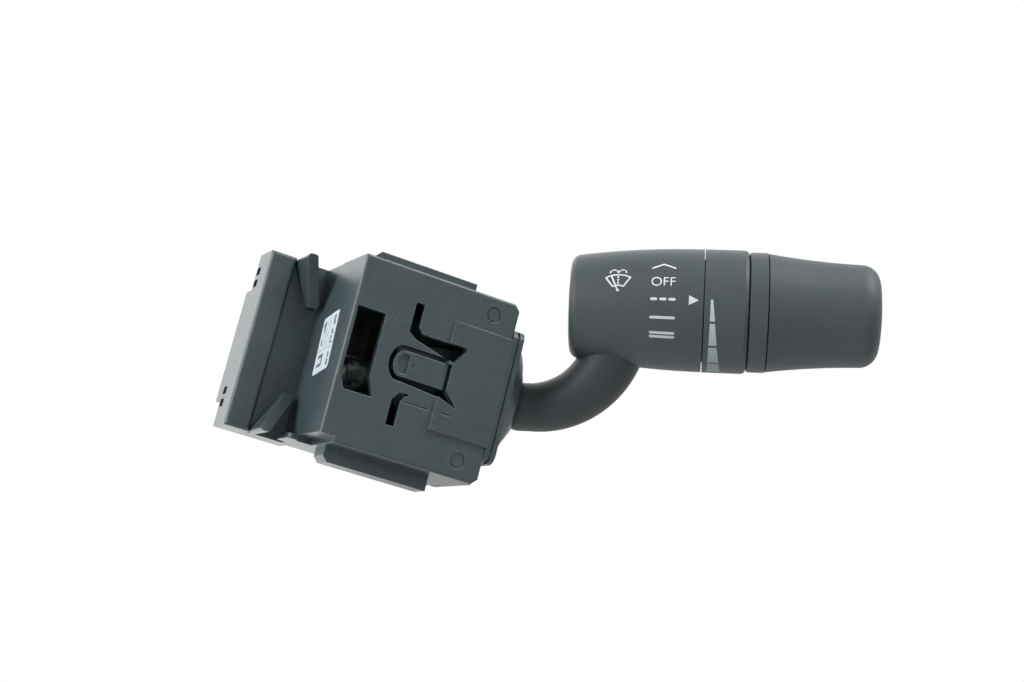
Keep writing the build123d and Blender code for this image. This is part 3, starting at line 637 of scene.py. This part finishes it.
# Washer symbol, in millimetres from its middle and in degrees.
SYMBOL_TURN = 63
SCREEN_CENTRE = (0, -4.75)
SCREEN_TOP = (6.5, 59.5, 120.5, 8)  # radius, first and last angle, steps
SCREEN_FOOT = (3.3, 64.0, 116.0, 5)
WIPER = [(-1.75, 1.15), (-0.15, -2.7)]
WIPER_HUB = ((-0.1, -2.8), (0, -2.85))
HUB_LINE = 1.7  # width of the hub, as a share of the symbol's line
JET_LINE = 1.25  # width of the dots, as a share of the symbol's line
JET_DOTS = (1.0, 0.1, -0.75, 2.5)
JET_DOT_LENGTH = 0.06
SPRAY_CENTRE = (1.15, 2.3)
SPRAY_RADIUS = 1.05
SPRAY_ARCS = ((152, 128), (100, 72), (38, 10))


class STALK_OT_washer_symbol(Operator):
    """Print the windscreen washer symbol on the barrel"""

    bl_idname = "stalk.washer_symbol"
    bl_label = "Washer symbol"

    def execute(self, context):
        sizes = context.scene.stalk_sizes
        width = sizes.symbol_line

        def arc(middle, radius, low, high, steps):
            turns = [radians(low + (high - low) * step / steps) for step in range(steps + 1)]
            return [
                (middle[0] + radius * cos(turn), middle[1] + radius * sin(turn))
                for turn in turns
            ]

        def scaled(points):
            return [(x * MM, y * MM) for x, y in points]

        top = arc(SCREEN_CENTRE, *SCREEN_TOP)
        foot = arc(SCREEN_CENTRE, *SCREEN_FOOT)
        flats = strokes(scaled(top + foot[::-1] + top[:1]), width)
        flats += strokes(scaled(WIPER), width)
        flats.append(line(*scaled(WIPER_HUB), width * HUB_LINE))
        for y in JET_DOTS:
            dot = scaled([(0, y), (0, y + JET_DOT_LENGTH)])
            flats.append(line(*dot, width * JET_LINE))
        for side in (1, -1):
            for low, high in SPRAY_ARCS:
                spray = arc(SPRAY_CENTRE, SPRAY_RADIUS, low, high, 2)
                flats += strokes([(side * x * MM, y * MM) for x, y in spray], width)
        place = facing(radians(SYMBOL_TURN), -sizes.symbol_place, sizes.head_roll)
        laid = [lay(flat, place, "barrel", sizes.ink, cuts=3) for flat in flats]
        symbol = join(laid, "washer_symbol")
        finish_piece(symbol, bpy.data.materials["ink"], "lever")
        return {"FINISHED"}


SCALE_STOPS = (79.5, 101.5, 125.1, 147.0, 168.0)  # ends of its blocks, in degrees from the top


class STALK_OT_dial_scale(Operator):
    """Print the widening scale of wiping intervals on the dial"""

    bl_idname = "stalk.dial_scale"
    bl_label = "Interval scale"

    def execute(self, context):
        sizes = context.scene.stalk_sizes
        low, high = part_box("dial_ring")
        radius = (high - low).dot(Vector((0, 0, 1))) / 2
        first, last = SCALE_STOPS[0], SCALE_STOPS[-1]
        growth = (sizes.scale_wide - sizes.scale_thin) / (last - first)
        blocks = []
        for begin, end in zip(SCALE_STOPS, SCALE_STOPS[1:]):
            reach = radius * sin(radians(end - begin) / 2) - sizes.scale_gap / 2
            top = sizes.scale_thin + growth * (begin - first)
            foot = sizes.scale_thin + growth * (end - first)
            lean, lean_end = [
                sizes.scale_lean * (last - stop) / (last - first) for stop in (begin, end)
            ]
            block = face([
                (lean, reach), (lean_end, -reach), (lean_end + foot, -reach), (lean + top, reach),
            ])
            place = facing(radians((begin + end) / 2), sizes.scale_edge, sizes.head_roll)
            blocks.append(lay(block, place, "dial_ring", sizes.ink, cuts=4))
        scale = join(blocks, "dial_scale")
        ink = printed_ink("scale_ink", tuple(context.scene.stalk_colours.scale))
        finish_piece(scale, ink, "dial")
        return {"FINISHED"}


LABEL_PLACE = (-19.75 * MM, 2.05 * MM)  # its middle on the side wall: Y and Z


class STALK_OT_side_label(Operator):
    """Stick the label on the side wall of the housing"""

    bl_idname = "stalk.side_label"
    bl_label = "Side label"

    def execute(self, context):
        sizes = context.scene.stalk_sizes
        colours = context.scene.stalk_colours
        centre = Vector((sizes.label_wall - sizes.label_thickness / 2, *LABEL_PLACE))
        deselect()
        bpy.ops.mesh.primitive_cube_add(size=1, location=centre)
        label = named("side_label")
        label.scale = (sizes.label_thickness, sizes.label_width, sizes.label_height)
        bpy.ops.object.transform_apply(location=False, rotation=False, scale=True)
        points = label.data.vertices
        bpy.ops.object.mode_set(mode="EDIT")
        bpy.ops.mesh.select_mode(type="EDGE")
        bpy.ops.mesh.select_all(action="DESELECT")
        bpy.ops.object.mode_set(mode="OBJECT")
        for edge in label.data.edges:
            ends = [points[index].co for index in edge.vertices]
            edge.select = abs(ends[0].x - ends[1].x) > sizes.label_thickness / 2
        bpy.ops.object.mode_set(mode="EDIT")
        bpy.ops.mesh.bevel(offset=sizes.label_corner, segments=5)
        bpy.ops.object.mode_set(mode="OBJECT")
        label.rotation_euler.x = -sizes.label_tilt
        settle(label)
        paper = label_paper(
            tuple(colours.label), tuple(colours.label_ink), centre, -sizes.label_tilt,
        )
        finish_piece(label, paper, "housing")
        return {"FINISHED"}


FLOOR_SIZE = 6.0
FLOOR_LEVEL = -0.45
FLOOR_GLOW = 0.7
BACKDROP_LEVEL = 1.0  # strength of the backdrop for the camera
BACKDROP_DIFFUSE = 0.08  # its light on matt surfaces
BACKDROP_GLOSS = 1.0  # its strength in glossy surfaces
LAMP_AIM = Vector((0.07, -0.03, 0.0))
CAMERA_PLACE = (-0.11072, -0.47431, -0.08412)
CAMERA_RIGHT = Vector((0.8840, -0.4024, 0.2378))
CAMERA_FORWARD = Vector((0.3590, 0.9103, 0.2059))
CAMERA_LENS = 63.28
# Name, place, side in metres, power in watts and whether it lights matt surfaces.
LAMPS = (
    ("key", (0.32, -0.34, 0.68), 0.45, 5.0, True),
    ("side", (-0.65, -0.1, 0.05), 0.5, 5.0, True),
    ("front", (-0.1, -0.85, 0.0), 0.6, 0.8, True),
    ("rear", (0.1, 0.6, 0.6), 0.6, 1.5, True),
    ("backdrop_glare", (-0.25, 0.75, 0.05), 1.3, 5.5, False),
)


class STALK_OT_stage(Operator):
    """Set the floor, the backdrop, the lamps and the camera"""

    bl_idname = "stalk.stage"
    bl_label = "Stage"

    def execute(self, context):
        colours = context.scene.stalk_colours
        floor_finish = Finish(
            "floor", Roughness=0.9, Emission_Color=(1, 1, 1, 1), Emission_Strength=FLOOR_GLOW,
        )
        floor_finish.feed("Base Color", (*colours.floor, 1))
        deselect()
        bpy.ops.mesh.primitive_plane_add(size=FLOOR_SIZE, location=(0, 0, FLOOR_LEVEL))
        floor = named("floor")
        settle(floor)
        floor.data.materials.append(floor_finish.material)
        floor.visible_diffuse = False
        world = bpy.data.worlds.new("studio")
        context.scene.world = world
        world.use_nodes = True
        nodes, links = world.node_tree.nodes, world.node_tree.links
        path = nodes.new("ShaderNodeLightPath")
        lit = nodes.new("ShaderNodeMapRange")
        lit.inputs[3].default_value = BACKDROP_DIFFUSE
        lit.inputs[4].default_value = BACKDROP_GLOSS
        links.new(path.outputs["Is Glossy Ray"], lit.inputs[0])
        seen = nodes.new("ShaderNodeMapRange")
        links.new(path.outputs["Is Camera Ray"], seen.inputs[0])
        links.new(lit.outputs[0], seen.inputs[3])
        seen.inputs[4].default_value = BACKDROP_LEVEL
        links.new(seen.outputs[0], nodes["Background"].inputs["Strength"])
        nodes["Background"].inputs["Color"].default_value = (1, 1, 1, 1)
        for name, place, size, power, diffuse in LAMPS:
            bpy.ops.object.light_add(type="AREA", location=place)
            lamp = context.object
            lamp.name = name
            lamp.data.size = size
            lamp.data.energy = power
            lamp.visible_diffuse = diffuse
            lamp.visible_camera = False
            lamp.rotation_euler = (LAMP_AIM - Vector(place)).to_track_quat("-Z", "Y").to_euler()
        bpy.ops.object.camera_add(location=CAMERA_PLACE)
        camera = context.object
        forward = CAMERA_FORWARD.normalized()
        right = (CAMERA_RIGHT - forward * CAMERA_RIGHT.dot(forward)).normalized()
        up = right.cross(forward)
        turned = Matrix((right, up, -forward)).transposed().to_4x4()
        camera.matrix_world = Matrix.Translation(camera.location) @ turned
        camera.data.lens = CAMERA_LENS
        context.scene.camera = camera
        context.scene.view_settings.view_transform = "Standard"
        return {"FINISHED"}


class STALK_PT_panel(Panel):
    """Sizes, colours and steps of the stalk switch"""

    bl_label = "Stalk switch"
    bl_idname = "STALK_PT_panel"
    bl_space_type = "VIEW_3D"
    bl_region_type = "UI"
    bl_category = "Stalk switch"

    def draw(self, context):
        for group in (context.scene.stalk_sizes, context.scene.stalk_colours):
            for key in group.__annotations__:
                self.layout.prop(group, key)
        for step in STEPS:
            self.layout.operator(step.bl_idname)


STEPS = (
    STALK_OT_finishes, STALK_OT_position_marks, STALK_OT_washer_symbol,
    STALK_OT_dial_scale, STALK_OT_side_label, STALK_OT_stage,
)
CLASSES = (StalkSizes, StalkColours, *STEPS, STALK_PT_panel)


def register():
    for entry in CLASSES:
        bpy.utils.register_class(entry)
    bpy.types.Scene.stalk_sizes = PointerProperty(type=StalkSizes)
    bpy.types.Scene.stalk_colours = PointerProperty(type=StalkColours)


def unregister():
    del bpy.types.Scene.stalk_colours
    del bpy.types.Scene.stalk_sizes
    for entry in reversed(CLASSES):
        bpy.utils.unregister_class(entry)


def main():
    register()
    bpy.ops.stalk.finishes()
    bpy.ops.stalk.position_marks()
    bpy.ops.stalk.washer_symbol()
    bpy.ops.stalk.dial_scale()
    bpy.ops.stalk.side_label()
    bpy.ops.stalk.stage()


if __name__ == "__main__":
    main()
